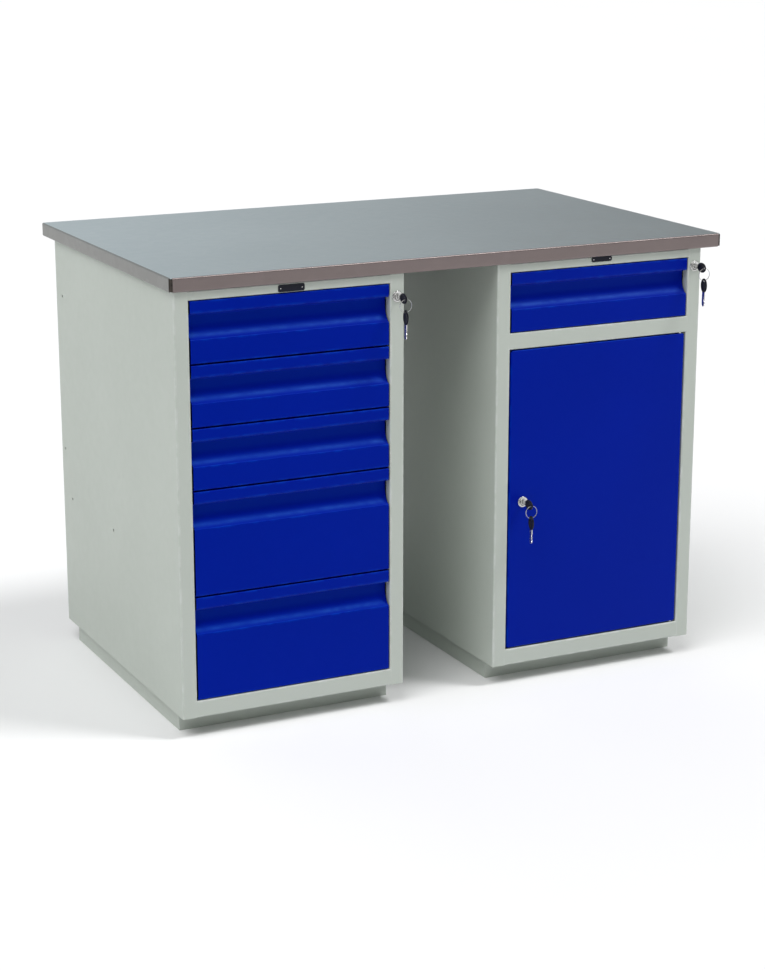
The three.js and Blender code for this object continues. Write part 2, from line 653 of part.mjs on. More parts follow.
// The bar behind the left cabinet's stile: its slot rides on the crank's pin, and it has one
// hook for each drawer.
function lockBar() {
  const pinHeight = LEFT_LOCK_HEIGHT + CRANK_LENGTH * Math.sin(CRANK_ANGLE);
  const y1 = BAR_FRONT + BAR_SHEET;
  const inner = STILE_LOCK - BAR_INNER_EDGE;
  const hookHeights = leftDrawerBottoms().map(bottom => bottom + FRONT_GAP + HOOK_HEIGHT);
  const top = pinHeight + BAR_HEAD_HALF;
  const strip = box(inner, STILE_LOCK + BAR_OUTER_EDGE, BAR_FRONT, y1, Math.min(...hookHeights), top);
  const head = box(inner, STILE_LOCK + BAR_HEAD_REACH, BAR_FRONT, y1, pinHeight - BAR_HEAD_HALF, top);
  const hooks = hookHeights.map(
    z => box(TRAY_HALF_WIDTH + HOOK_CLEARANCE, inner + OVERLAP, BAR_FRONT, y1, z, z + HOOK_SIZE));
  const play = CRANK_PIN_RADIUS + OVERLAP;
  const slot = box(
    STILE_LOCK + CRANK_LENGTH * Math.cos(CRANK_ANGLE) - play, STILE_LOCK + CRANK_LENGTH + play,
    BAR_FRONT - OVERLAP, y1 + OVERLAP, pinHeight - play, pinHeight + play);
  return piece('left_lock_bar', cut(join(strip, head, ...hooks), slot), greyZinc());
}

function locks() {
  const down = -Math.PI / 2;
  return groupAt(0, 0, 0,
    lockSet('left_lock', LEFT_CENTRE + STILE_LOCK, 0, LEFT_LOCK_HEIGHT, crank()),
    groupAt(LEFT_CENTRE, 0, 0, lockBar()),
    lockSet('right_lock', RIGHT_CENTRE + STILE_LOCK, 0, RIGHT_LOCK_HEIGHT,
      [camPlate(DRAWER_CAM_LENGTH, down)]),
    lockSet('door_lock', RIGHT_CENTRE + DOOR_LOCK, DOOR_FACE, DOOR_LOCK_HEIGHT,
      [camPlate(DOOR_CAM_LENGTH, down)]));
}

// ---- The whole bench ----

const workbench = groupAt(0, -(ENVELOPE_FRONT + ENVELOPE_BACK) / 2, 0,
  worktopBoard(), worktopCover(), leftCabinet(), rightCabinet(),
  leftDrawers(), rightDrawer(), door(), locks());

export default workbench;
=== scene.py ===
"""Two-pedestal workbench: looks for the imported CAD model. Metres, +Z up, the fronts face -Y."""
import json
import math

import bmesh
import bpy
from mathutils import Matrix, Vector


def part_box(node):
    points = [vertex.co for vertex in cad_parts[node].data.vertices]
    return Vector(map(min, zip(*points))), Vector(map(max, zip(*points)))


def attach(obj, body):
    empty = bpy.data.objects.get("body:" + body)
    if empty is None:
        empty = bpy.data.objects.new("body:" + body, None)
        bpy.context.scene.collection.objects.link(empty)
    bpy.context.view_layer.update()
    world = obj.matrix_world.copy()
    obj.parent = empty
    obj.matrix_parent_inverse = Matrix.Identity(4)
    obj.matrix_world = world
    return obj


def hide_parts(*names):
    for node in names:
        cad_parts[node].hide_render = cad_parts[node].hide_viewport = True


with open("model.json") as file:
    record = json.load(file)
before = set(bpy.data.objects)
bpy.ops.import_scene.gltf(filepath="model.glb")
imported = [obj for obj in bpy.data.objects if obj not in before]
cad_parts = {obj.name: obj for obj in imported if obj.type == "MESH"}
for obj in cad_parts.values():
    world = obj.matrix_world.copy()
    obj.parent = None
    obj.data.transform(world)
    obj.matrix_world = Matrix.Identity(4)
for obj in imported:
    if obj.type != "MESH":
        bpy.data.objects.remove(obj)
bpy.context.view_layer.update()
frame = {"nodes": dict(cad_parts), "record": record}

MM = 0.001
TINY = 0.001 * MM
MERGE = 0.02 * MM  # points nearer than this become one
MIX_COLORS = (6, 7)  # the Mix node's sockets for two colours
MIX_RESULT = 2  # and for the colour that it makes

# ---- Sheet metal ----

CABINET_SHEET = 1.5 * MM
FRONT_SHEET = 1.2 * MM
WORKTOP_SHEET = 1.5 * MM
SHEET_GAP = 0.3 * MM  # between two sheets that a weld joins
BEND = 1.0 * MM  # inner radius of an ordinary fold
BEND_STEPS = 5
CURVE_STEPS = 14  # in a bend of SHARP_BEND or more
SHARP_BEND = 4 * MM  # a tighter bend counts as a fold, whose paint wears and gets a painted highlight
WEAR_AND_HIGHLIGHT_REACH = 2.5 * MM  # how far a fold's lighter stripe of rubbed paint and painted highlight reaches over the flat
WEAR_AND_HIGHLIGHT_SHARE = 0.4  # the most of a flat that one fold's stripe takes
CUT_EDGE = 0.3 * MM  # rounding of a sheet's cut edge

STILE_RETURN = 18 * MM
REAR_FLANGE = 25 * MM
RAIL_RETURN = 14 * MM

FRONT_RETURN = 15 * MM
GRIP_BAND = 25 * MM
GRIP_BACK = 16 * MM
GRIP_SLOPE = 32 * MM
GRIP_DEPTH = 17.5 * MM
GRIP_CEILING_BEND = 6 * MM
GRIP_EDGE = 2.5 * MM  # straight stretch that the slope keeps above its lower edge
EDGE_BEND = 0.8 * MM
LIP_BEND = 3.8 * MM

WORKTOP_LIP = 14 * MM
WORKTOP_SEAM = 6 * MM  # open corner of the cladding
DOOR_LIP = 20 * MM
DOOR_SEAM = BEND + CABINET_SHEET

# ---- Holes and plates ----

LOCK_HOLE_RADIUS = 9.3 * MM
FIXING_HOLE_RADIUS = 3.2 * MM
FIXING_HOLES = [(647, 759), (662, 428), (627, 325), (370, 324)]  # mm behind the stiles, above the floor
DRILL_LENGTH = 10 * MM
DRILL_SIDES = 40

PLATES = {  # width, height, rise above the rail's middle
    "left": (54 * MM, 14 * MM, -0.5 * MM),
    "right": (47 * MM, 10 * MM, 3.2 * MM),
}
PLATE_THICKNESS = 1.0 * MM
PLATE_CORNER = 1.6 * MM
PLATE_CORNER_STEPS = 6
PLATE_EDGE = 0.25 * MM
RIVET_INSET = 5 * MM
RIVET_DOME = [(-0.5, 0), (-0.45, 0.7), (-0.2, 1.15), (0.1, 1.3), (0.1, 0)]  # mm along the axis, radius
RIVET_SIDES = 20

# ---- Locks, keys and rings ----

LATHE_SIDES = 48
CREASE_ANGLE = 35  # degrees

LOCK_BORE_RADIUS = 6.1 * MM
LOCK_DISH_WIDTH = 1.6 * MM
LOCK_DISH_DEPTH = 0.7 * MM
LOCK_FLANGE = 2.5 * MM  # how far the flange stands out in front
LOCK_FLANGE_RADIUS = 11 * MM
LOCK_FLANGE_BACK = 0.3 * MM  # from the flange's back to the sheet's face
LOCK_RIM = 1.1 * MM
LOCK_RIM_STEPS = 5
LOCK_BODY_RADIUS = 9 * MM
LOCK_BODY_LENGTH = 18 * MM
LOCK_BODY_CHAMFER = 0.9 * MM
THREAD_START = 1.8 * MM
THREAD_TURNS = 10
THREAD_PITCH = 1.5 * MM
THREAD_DEPTH = 0.5 * MM
THREAD_RUNOUT = 0.4 * MM

BOW_LENGTH = 29 * MM
BOW_WIDTH = 20 * MM
BOW_THICKNESS = 3 * MM
BOW_HOLE_RADIUS = 2.6 * MM
BOW_HOLE_INSET = 4.5 * MM
BOW_SIDES = 56
BOW_SECTION = [  # mm below the bow's face, share of the way from its middle to its outline
    (0.55, 0), (0.55, 0.66), (0, 0.74), (0, 0.9), (0.35, 0.97), (0.9, 1.0),
]
BLADE_LENGTH = 28.5 * MM
BLADE_WIDTH = 8.4 * MM
BLADE_THICKNESS = 2.2 * MM
BLADE_ROOT = 1.0 * MM  # how far the blade starts inside the bow
BLADE_EDGE = 0.15 * MM
BLADE_EDGE_ANGLE = 30  # degrees
BLADE_BACK_TIP = [(4, 0), (0, 3)]  # mm from the tip, mm in from the back edge
BLADE_CUT_TIP = [(0, 3.4), (2, 1.2)]  # mm from the tip, mm in from the cut edge
BLADE_CUTS = [1.3, 2.2, 0.9, 1.8, 1.2]  # depths of the cuts, mm, from the bow to the tip
FIRST_CUT = 4 * MM  # from the tip
CUT_PITCH = 3.2 * MM
CUT_SHOULDER = 0.2 * MM
CUT_CORNERS = [0.6, 1.3, 2.1, 2.8]  # mm from a cut's start to its shoulder, floor, floor and shoulder

RING_RADIUS = 12.5 * MM
RING_WIRE = 0.45 * MM
RING_TURNS = 2
RING_STEPS = 96  # in one turn
RING_SIDES = 10
RING_START = 0.6  # radians
RING_CROSSING = 0.25  # share of the wire in which it crosses from one turn to the other

LOCKS = {"left_lock": "frame", "right_lock": "frame", "door_lock": "door"}  # the bodies that hold them
DRAWERS = [f"left_drawer_{i}" for i in range(1, 6)] + ["right_drawer"]

# ---- Camera, floor and light, with angles in degrees ----

CAMERA_AZIMUTH = -26.1
CAMERA_ELEVATION = 15.25
CAMERA_DISTANCE = 4.507
CAMERA_TARGET = (-0.1343, -0.2830, 0.4388)
CAMERA_LENS = 84.38
CAMERA_REACH = 100

FLOOR_SIZE = 80.0
FLOOR_COLOR = (0.80, 0.80, 0.805)
FLOOR_SHADE = (0.82, 0.82, 0.825)
ROOM_COLOR = (0.27, 0.27, 0.27)
BACKDROP_COLOR = (0.84, 0.90, 0.92)
BACKDROP_DIRECTION = (-0.20, 0.93, 0.30)
BACKDROP_EDGE = 0.70  # cosine of the angle from that direction at which the backdrop ends

LEFT_SOFTBOX = {"azimuth": -62, "elevation": 58, "spread_angle": 45, "strength": 2.1}
RIGHT_LAMP = {"azimuth": 56, "elevation": 57, "spread_angle": 16, "strength": 1.6}


# ---- Node material helpers ----

def new_material(name):
    material = bpy.data.materials.new(name)
    material.use_nodes = True
    nodes = material.node_tree.nodes
    shader = nodes["Principled BSDF"]
    return material, nodes, material.node_tree.links, shader


def add_node(nodes, kind, **inputs):
    node = nodes.new(kind)
    for key, value in inputs.items():
        node.inputs[key.replace("_", " ")].default_value = value
    return node


def object_coordinate(nodes):
    return nodes.new("ShaderNodeTexCoord").outputs["Object"]


def noise(nodes, links, coordinate, scale, detail=2.0, stretch=None):
    """A noise texture over a coordinate, in repeats per metre. Returns its value output."""
    source = coordinate
    if stretch:
        mapping = nodes.new("ShaderNodeMapping")
        mapping.inputs["Scale"].default_value = stretch
        links.new(coordinate, mapping.inputs["Vector"])
        source = mapping.outputs["Vector"]
    texture = add_node(nodes, "ShaderNodeTexNoise", Scale=scale, Detail=detail)
    links.new(source, texture.inputs["Vector"])
    return texture.outputs["Fac"]


def remap(nodes, links, value, low, high, to_low=0.0, to_high=1.0):
    node = nodes.new("ShaderNodeMapRange")
    for key, number in (("From Min", low), ("From Max", high), ("To Min", to_low), ("To Max", to_high)):
        node.inputs[key].default_value = number
    links.new(value, node.inputs["Value"])
    return node.outputs["Result"]


def multiply(nodes, links, a, b):
    node = nodes.new("ShaderNodeMath")
    node.operation = "MULTIPLY"
    links.new(a, node.inputs[0])
    links.new(b, node.inputs[1])
    return node.outputs["Value"]


def mix_color(nodes, links, factor, a, b):
    """Colour a where factor is 0 and b where it is 1. a and b are colours or sockets."""
    node = nodes.new("ShaderNodeMix")
    node.data_type = "RGBA"
    links.new(factor, node.inputs["Factor"])
    for key, color in zip(MIX_COLORS, (a, b)):
        if isinstance(color, tuple):
            node.inputs[key].default_value = (*color, 1)
        else:
            links.new(color, node.inputs[key])
    return node.outputs[MIX_RESULT]


def random_cells(nodes, links, coordinate, scale):
    """A cell pattern. Returns its distance output and its cells' random red and green."""
    cells = add_node(nodes, "ShaderNodeTexVoronoi", Scale=scale)
    links.new(coordinate, cells.inputs["Vector"])
    split = nodes.new("ShaderNodeSeparateColor")
    links.new(cells.outputs["Color"], split.inputs["Color"])
    return cells.outputs["Distance"], split.outputs[0], split.outputs[1]


def bump_chain(nodes, links, shader, layers):
    """Bump from several (height, strength, distance) layers, each riding on the one before."""
    normal = None
    for height, strength, distance in layers:
        bump = add_node(nodes, "ShaderNodeBump", Strength=strength, Distance=distance)
        links.new(height, bump.inputs["Height"])
        if normal:
            links.new(normal, bump.inputs["Normal"])
        normal = bump.outputs["Normal"]
    links.new(normal, shader.inputs["Normal"])


def worn_and_highlit_folds(nodes, links, coordinate):
    """Where a fold's paint is rubbed and a highlight is painted on: the mesh's fold attribute, broken up by
    noise.
    """
    attribute = nodes.new("ShaderNodeAttribute")
    attribute.attribute_name = "fold"
    patches = remap(nodes, links, noise(nodes, links, coordinate, scale=45.0, detail=4.0),
                    low=0.42, high=0.66)
    return multiply(nodes, links, attribute.outputs["Fac"], patches)


# ---- Materials ----

def powder_coat(name, color, shade, wear_and_highlight, sheen, roughness, specular, grain):
    """Fine-textured powder coat: an even colour with faint clouds, orange peel and grain, and a lighter
    colour on its folds for rubbed paint and a painted highlight. sheen is the tint of its reflections."""
    material, nodes, links, shader = new_material(name)
    shader.inputs["Specular IOR Level"].default_value = specular
    shader.inputs["Specular Tint"].default_value = (*sheen, 1)
    coordinate = object_coordinate(nodes)
    clouds = remap(nodes, links, noise(nodes, links, coordinate, scale=3.5, detail=3.0), low=0.3, high=0.7)
    speckle = remap(nodes, links, noise(nodes, links, coordinate, scale=1100.0, detail=1.0),
                    low=0.35, high=0.65)
    base = mix_color(nodes, links, clouds, color, shade)
    grainy = mix_color(nodes, links, multiply(nodes, links, speckle, clouds), base, shade)
    # Folds go lighter: rubbed paint and a painted highlight.
    rubbed_and_highlit = mix_color(nodes, links, worn_and_highlit_folds(nodes, links, coordinate), grainy, wear_and_highlight)
    links.new(rubbed_and_highlit, shader.inputs["Base Color"])
    gloss = remap(nodes, links, noise(nodes, links, coordinate, scale=60.0, detail=4.0),
                  low=0.3, high=0.7, to_low=roughness - 0.05, to_high=roughness + 0.06)
    links.new(gloss, shader.inputs["Roughness"])
    bump_chain(nodes, links, shader, [
        (noise(nodes, links, coordinate, scale=210.0), 0.12, 0.3 * MM),
        (noise(nodes, links, coordinate, scale=900.0), grain, 0.2 * MM),
    ])
    return material


def warped(nodes, links, coordinate, scale, amount):
    """A coordinate pushed about by noise, so that a pattern over it gets wavy edges."""
    wobble = add_node(nodes, "ShaderNodeTexNoise", Scale=scale, Detail=3.0)
    links.new(coordinate, wobble.inputs["Vector"])
    push = add_node(nodes, "ShaderNodeVectorMath")
    push.operation = "MULTIPLY_ADD"
    links.new(wobble.outputs["Color"], push.inputs[0])
    push.inputs[1].default_value = (amount, amount, amount)
    links.new(coordinate, push.inputs[2])
    return push.outputs["Vector"]


def sheet_metal(name, color, shade, roughness, spangle, brushed):
    """Zinc-coated sheet: crystal spangle, faint rolling lines and cloudy dullness. spangle is in
    crystals per metre, and brushed is the stretch of the rolling lines."""
    material, nodes, links, shader = new_material(name)
    shader.inputs["Metallic"].default_value = 1.0
    coordinate = object_coordinate(nodes)
    wavy = warped(nodes, links, coordinate, scale=spangle * 1.5, amount=12 * MM)
    _, dark_crystals, dull_crystals = random_cells(nodes, links, wavy, spangle)
    clouds = remap(nodes, links, noise(nodes, links, coordinate, scale=3.0), low=0.3, high=0.7, to_high=0.5)
    facets = remap(nodes, links, dark_crystals, low=0.0, high=1.0, to_high=0.18)
    base = mix_color(nodes, links, clouds, color, shade)
    links.new(mix_color(nodes, links, facets, base, shade), shader.inputs["Base Color"])
    gloss = remap(nodes, links, dull_crystals, low=0.0, high=1.0,
                  to_low=roughness - 0.02, to_high=roughness + 0.03)
    links.new(gloss, shader.inputs["Roughness"])
    bump_chain(nodes, links, shader, [
        (noise(nodes, links, coordinate, scale=1.0, detail=3.0, stretch=brushed), 0.03, 0.1 * MM),
        (noise(nodes, links, coordinate, scale=8.0, detail=1.0), 0.04, 1.0 * MM),
    ])
    return material


def plated_steel(name, color, shade, roughness):
    """Bright plating with fine handling scratches."""
    material, nodes, links, shader = new_material(name)
    shader.inputs["Metallic"].default_value = 1.0
    coordinate = object_coordinate(nodes)
    dull = remap(nodes, links, noise(nodes, links, coordinate, scale=180.0, detail=3.0), low=0.35, high=0.7)
    scratches = noise(nodes, links, coordinate, scale=900.0, detail=4.0, stretch=(1.0, 0.15, 1.0))
    links.new(mix_color(nodes, links, dull, color, shade), shader.inputs["Base Color"])
    gloss = remap(nodes, links, scratches, low=0.3, high=0.7,
                  to_low=roughness - 0.05, to_high=roughness + 0.12)
    links.new(gloss, shader.inputs["Roughness"])
    bump_chain(nodes, links, shader, [(scratches, 0.08, 0.05 * MM)])
    return material


def moulded_plastic(name, color, shade, roughness):
    """Moulded plastic with a fine spark-eroded texture and paler rubbed spots."""
    material, nodes, links, shader = new_material(name)
    shader.inputs["Specular IOR Level"].default_value = 0.22
    coordinate = object_coordinate(nodes)
    rub = remap(nodes, links, noise(nodes, links, coordinate, scale=120.0, detail=4.0), low=0.45, high=0.75)
    links.new(mix_color(nodes, links, rub, color, shade), shader.inputs["Base Color"])
    gloss = remap(nodes, links, rub, low=0.0, high=1.0, to_low=roughness, to_high=roughness + 0.15)
    links.new(gloss, shader.inputs["Roughness"])
    bump_chain(nodes, links, shader, [(noise(nodes, links, coordinate, scale=2600.0), 0.25, 0.06 * MM)])
    return material


def chipboard(name, color, shade):
    """Near-black board with the chips showing through, seen from below or at an open seam."""
    material, nodes, links, shader = new_material(name)
    shader.inputs["Roughness"].default_value = 0.85
    distance, tone, _ = random_cells(nodes, links, object_coordinate(nodes), scale=190.0)
    links.new(mix_color(nodes, links, tone, color, shade), shader.inputs["Base Color"])
    bump_chain(nodes, links, shader, [(distance, 0.3, 0.4 * MM)])
    return material


def floor_paint(name, color, shade):
    """Pale matt floor with broad faint clouds."""
    material, nodes, links, shader = new_material(name)
    shader.inputs["Roughness"].default_value = 0.7
    clouds = noise(nodes, links, object_coordinate(nodes), scale=1.2)
    links.new(mix_color(nodes, links, clouds, color, shade), shader.inputs["Base Color"])
    return material


ALONG_X = (6.0, 900.0, 900.0)
ALONG_Y = (900.0, 6.0, 900.0)

# The third colour of each coat is the lighter one of its folds: rubbed paint and a painted highlight.
GREY_PAINT = powder_coat(
    "grey_powder_coat", color=(0.465, 0.505, 0.46), shade=(0.445, 0.485, 0.44), wear_and_highlight=(0.52, 0.55, 0.52),
    sheen=(1.0, 1.0, 1.0), roughness=0.48, specular=0.4, grain=0.2)
BLUE_PAINT = powder_coat(
    "blue_powder_coat", color=(0.0, 0.004, 0.275), shade=(0.0, 0.0035, 0.255), wear_and_highlight=(0.0, 0.018, 0.33),
    sheen=(0.0, 0.38, 1.0), roughness=0.43, specular=0.28, grain=0.6)
ZINC_SHEET = sheet_metal(
    "galvanised_sheet", color=(0.62, 0.70, 0.73), shade=(0.54, 0.62, 0.65),
    roughness=0.30, spangle=60.0, brushed=ALONG_X)
# Painted reflection: the worktop's front and back edges are the galvanised sheet darkened and browned, as
# if mirroring a dark, warm floor.
ZINC_EDGE_PAINTED_REFLECTION = sheet_metal(
    "galvanised_edge_painted_reflection", color=(0.235, 0.195, 0.19), shade=(0.19, 0.16, 0.155),
    roughness=0.38, spangle=60.0, brushed=ALONG_X)
# Painted reflection and shade: the worktop's end edges are the galvanised sheet darkened to a flat grey.
ZINC_END_PAINTED_REFLECTION = sheet_metal(
    "galvanised_end_painted_reflection", color=(0.255, 0.255, 0.245), shade=(0.22, 0.22, 0.21),
    roughness=0.38, spangle=60.0, brushed=ALONG_Y)
ZINC_PARTS = sheet_metal(
    "zinc_plated_sheet", color=(0.52, 0.54, 0.55), shade=(0.42, 0.43, 0.44),
    roughness=0.38, spangle=140.0, brushed=ALONG_Y)
BRIGHT_STEEL = plated_steel(
    "nickel_plated_steel", color=(0.66, 0.66, 0.65), shade=(0.50, 0.50, 0.49), roughness=0.20)
KEY_PLASTIC = moulded_plastic(
    "black_moulded_plastic", color=(0.006, 0.006, 0.010), shade=(0.02, 0.02, 0.026), roughness=0.40)
PLATE_PLASTIC = moulded_plastic(
    "dark_plate_plastic", color=(0.003, 0.004, 0.012), shade=(0.008, 0.008, 0.018), roughness=0.35)
CHIPBOARD = chipboard("chipboard", color=(0.022, 0.018, 0.015), shade=(0.05, 0.04, 0.032))

SLOT_MATERIALS = {
    "grey_paint": GREY_PAINT, "blue_paint": BLUE_PAINT, "zinc_sheet": ZINC_SHEET, "zinc_parts": ZINC_PARTS,
    "bright_steel": BRIGHT_STEEL, "board": CHIPBOARD, "key_plastic": KEY_PLASTIC,
}


# ---- Mesh helpers ----

def make_object(name, bm, material):
    mesh = bpy.data.meshes.new(name)
    bm.to_mesh(mesh)
    bm.free()
    for polygon in mesh.polygons:
        polygon.use_smooth = True
    mesh.materials.append(material)
    obj = bpy.data.objects.new(name, mesh)
    bpy.context.scene.collection.objects.link(obj)
    return obj


def apply_modifiers(obj):
    """Bakes obj's modifiers into its mesh."""
    bpy.context.view_layer.update()
    evaluated = obj.evaluated_get(bpy.context.evaluated_depsgraph_get())
    mesh = bpy.data.meshes.new_from_object(evaluated)
    obj.modifiers.clear()
    obj.data = mesh


def drill(obj, holes):
    """Cuts round holes. Each is (centre, radius, axis letter)."""
    turns = {
        "x": Matrix.Rotation(math.pi / 2, 4, "Y"),
        "y": Matrix.Rotation(math.pi / 2, 4, "X"),
    }
    for centre, radius, axis in holes:
        bm = bmesh.new()
        bmesh.ops.create_cone(
            bm, cap_ends=True, segments=DRILL_SIDES, radius1=radius, radius2=radius, depth=DRILL_LENGTH)
        bm.transform(Matrix.Translation(centre) @ turns[axis])
        cutter = make_object("drill", bm, obj.data.materials[0])
        modifier = obj.modifiers.new("hole", "BOOLEAN")
        modifier.operation = "DIFFERENCE"
        modifier.solver = "EXACT"
        modifier.object = cutter
        apply_modifiers(obj)
        bpy.data.objects.remove(cutter)


def ease_edges(obj, width=CUT_EDGE, segments=2, angle=50):
    """Rounds every sharp edge and keeps the flats flat."""
    bevel = obj.modifiers.new("eased_edges", "BEVEL")
    bevel.width = width
    bevel.segments = segments
    bevel.limit_method = "ANGLE"
    bevel.angle_limit = math.radians(angle)
    normals = obj.modifiers.new("flat_faces", "WEIGHTED_NORMAL")
    normals.keep_sharp = True


def crease(obj):
    """Marks the edges where the surface turns by more than the crease angle as sharp."""
    obj.data.set_sharp_from_angle(angle=math.radians(CREASE_ANGLE))


def thicken(obj, thickness):
    solid = obj.modifiers.new("thickness", "SOLIDIFY")
    solid.thickness = thickness
    solid.offset = -1
    solid.use_even_offset = True
    solid.use_quality_normals = True


def finish_sheet(obj, thickness, holes=()):
    """Gives a folded surface its thickness, its holes and its eased edges."""
    thicken(obj, thickness)
    if holes:
        apply_modifiers(obj)
        drill(obj, holes)
    ease_edges(obj)


def fold_line(points, thickness, bends=None):
    """Samples along the outer face of a folded sheet: (a, b, fold), with each corner rounded. The sheet
    lies left of the line, so a left turn has the outer radius and a right turn the inner one."""
    points = [Vector(p) for p in points]
    bends = bends or [BEND] * (len(points) - 2)
    corners = []
    reaches = [0.0]
    for before, corner, after, bend in zip(points, points[1:], points[2:], bends):
        into = (corner - before).normalized()
        out = (after - corner).normalized()
        turn = math.atan2(into.x * out.y - into.y * out.x, into.dot(out))
        radius = bend + thickness if turn > 0 else bend
        reaches.append(radius * math.tan(abs(turn) / 2))
        corners.append((corner, into, out, turn, radius, bend < SHARP_BEND))
    reaches.append(0.0)
    stripe_reaches = [min(WEAR_AND_HIGHLIGHT_REACH, ((b - a).length - near - far) * WEAR_AND_HIGHLIGHT_SHARE)
             for a, b, near, far in zip(points, points[1:], reaches, reaches[1:])]
    samples = [(points[0], 0.0)]
    for i, (corner, into, out, turn, radius, sharp) in enumerate(corners):
        reach = reaches[i + 1]
        side = Vector((-into.y, into.x)) * (1 if turn > 0 else -1)
        centre = corner - into * reach + side * radius
        if sharp:
            samples.append((corner - into * (reach + stripe_reaches[i]), 0.0))
        steps = BEND_STEPS if sharp else CURVE_STEPS
        for step in range(steps + 1):
            spoke = Matrix.Rotation(turn * step / steps, 2) @ -side
            samples.append((centre + spoke * radius, 1.0 if sharp else 0.0))
        if sharp:
            samples.append((corner + out * (reach + stripe_reaches[i + 1]), 0.0))
    samples.append((points[-1], 0.0))
    return [(p.x, p.y, wear_and_highlight) for p, wear_and_highlight in samples]


def spread(axis, a, b, t):
    """A point of a section (a, b) at t along the axis that the section is run along."""
    return {"x": (t, a, b), "z": (a, b, t)}[axis]


def strip(bm, rows, wear_and_highlight):
    """Faces between rows of points. The last argument gives each row's value of the fold attribute, which
    marks rubbed paint and a painted highlight.
    """
    layer = bm.verts.layers.float.get("fold") or bm.verts.layers.float.new("fold")
    made = []
    for row, value in zip(rows, wear_and_highlight):
        verts = [bm.verts.new(point) for point in row]
        for vert in verts:
            vert[layer] = value
        made.append(verts)
    for lower, upper in zip(made, made[1:]):
        for i in range(len(lower) - 1):
            bm.faces.new((lower[i], upper[i], upper[i + 1], lower[i + 1]))


def folded_sheet(name, axis, samples, low, high, thickness, material, holes=()):
    """A sheet with a folded section, run along an axis from low to high."""
    bm = bmesh.new()
    rows = [[spread(axis, a, b, low), spread(axis, a, b, high)] for a, b, _ in samples]
    strip(bm, rows, [wear_and_highlight for _, _, wear_and_highlight in samples])
    obj = make_object(name, bm, material)
    finish_sheet(obj, thickness, holes)
    return obj


def folded_pan(name, to_world, half_u, half_v, depth, lip, seam, thickness, materials, holes=()):
    """A sheet folded down on four sides and in again: its face is at depth 0, and each corner is open
    for the length of the seam. to_world turns (u, v, depth) into a point. materials are those of the
    face, of the edges at the ends of v and of the edges at the ends of u."""
    bm = bmesh.new()
    reach = BEND + thickness
    section = fold_line([(-lip, 0), (0, 0), (0, depth), (-lip, depth)], thickness)
    section = [s for s in section if s[0] > -reach - TINY or s[1] > depth / 2]
    across_u = Vector(to_world(1, 0, 0)) - Vector(to_world(0, 0, 0))
    across_v = Vector(to_world(0, 1, 0)) - Vector(to_world(0, 0, 0))
    outward = Vector(to_world(0, 0, 0)) - Vector(to_world(0, 0, 1))
    order = 1 if across_u.cross(across_v).dot(outward) > 0 else -1
    for quarter in range(4):
        across, along = (half_v, half_u) if quarter % 2 else (half_u, half_v)
        turn = Matrix.Rotation(quarter * math.pi / 2, 2)
        rows = []
        for out, down, _ in section:
            half = along - seam - (-out if down > depth / 2 else 0)
            ends = [turn @ Vector((across + out, -half)), turn @ Vector((across + out, half))]
            rows.append([to_world(end.x, end.y, down) for end in ends][::order])
        before = len(bm.faces)
        strip(bm, rows, [wear_and_highlight for _, _, wear_and_highlight in section])
        bm.faces.ensure_lookup_table()
        for face in bm.faces[before:]:
            face.material_index = min(1 if quarter % 2 else 2, len(materials) - 1)
    u_lines = [-(half_u - reach), -(half_u - seam), half_u - seam, half_u - reach]
    v_lines = [-(half_v - reach), -(half_v - seam), half_v - seam, half_v - reach]
    strip(bm, [[to_world(u, v, 0) for u in u_lines[::-order]] for v in v_lines], [0.0] * 4)
    bmesh.ops.remove_doubles(bm, verts=bm.verts, dist=MERGE)
    obj = make_object(name, bm, materials[0])
    for material in materials[1:]:
        obj.data.materials.append(material)
    finish_sheet(obj, thickness, holes)
    return obj


def join_rings(bm, rings, sides):
    """Faces between rings of points. A ring of one point closes the shape on its axis."""
    for lower, upper in zip(rings, rings[1:]):
        for i in range(sides):
            j = (i + 1) % sides
            corners = [lower[i % len(lower)], lower[j % len(lower)],
                       upper[j % len(upper)], upper[i % len(upper)]]
            bm.faces.new(list(dict.fromkeys(corners)))


def lathe(name, profile, origin, axis, material, sides=LATHE_SIDES):
    """A turned piece. profile is (distance along the axis, radius), starting and ending on the axis or
    closed. axis is the unit direction that the distances run along."""
    bm = bmesh.new()
    direction = Vector(axis)
    side = direction.orthogonal().normalized()
    other = direction.cross(side)
    closed = profile[0] == profile[-1]
    rings = []
    for distance, radius in profile[:-1] if closed else profile:
        ring = []
        for i in range(sides if radius else 1):
            angle = 2 * math.pi * i / sides
            spoke = side * math.cos(angle) + other * math.sin(angle)
            ring.append(bm.verts.new(Vector(origin) + direction * distance + spoke * radius))
        rings.append(ring)
    if closed:
        rings.append(rings[0])
    join_rings(bm, rings, sides)
    bmesh.ops.recalc_face_normals(bm, faces=bm.faces)
    return make_object(name, bm, material)


def finish_piece(obj, body, slot, *nodes):
    """Puts a made piece on its body, in place of the CAD nodes that it stands for."""
    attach(obj, body)
    if nodes:
        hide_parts(*nodes)


# ---- Worktop ----

def worktop():
    low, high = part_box("worktop_cover")
    centre = (low + high) / 2
    half = (high - low) / 2
    # The front and back edges take a darkened brown copy of the sheet and the ends a darkened grey one:
    # painted reflection and shade.
    sheet = folded_pan(
        "worktop_sheet", lambda u, v, w: (centre.x + u, centre.y + v, high.z - w),
        half.x, half.y, high.z - low.z, WORKTOP_LIP, WORKTOP_SEAM, WORKTOP_SHEET,
        [ZINC_SHEET, ZINC_EDGE_PAINTED_REFLECTION, ZINC_END_PAINTED_REFLECTION])
    finish_piece(sheet, "frame", "zinc_sheet", "worktop_cover")


# ---- Cabinets ----

def lock_centre(lock):
    low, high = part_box(f"{lock}_barrel")
    return (low + high) / 2


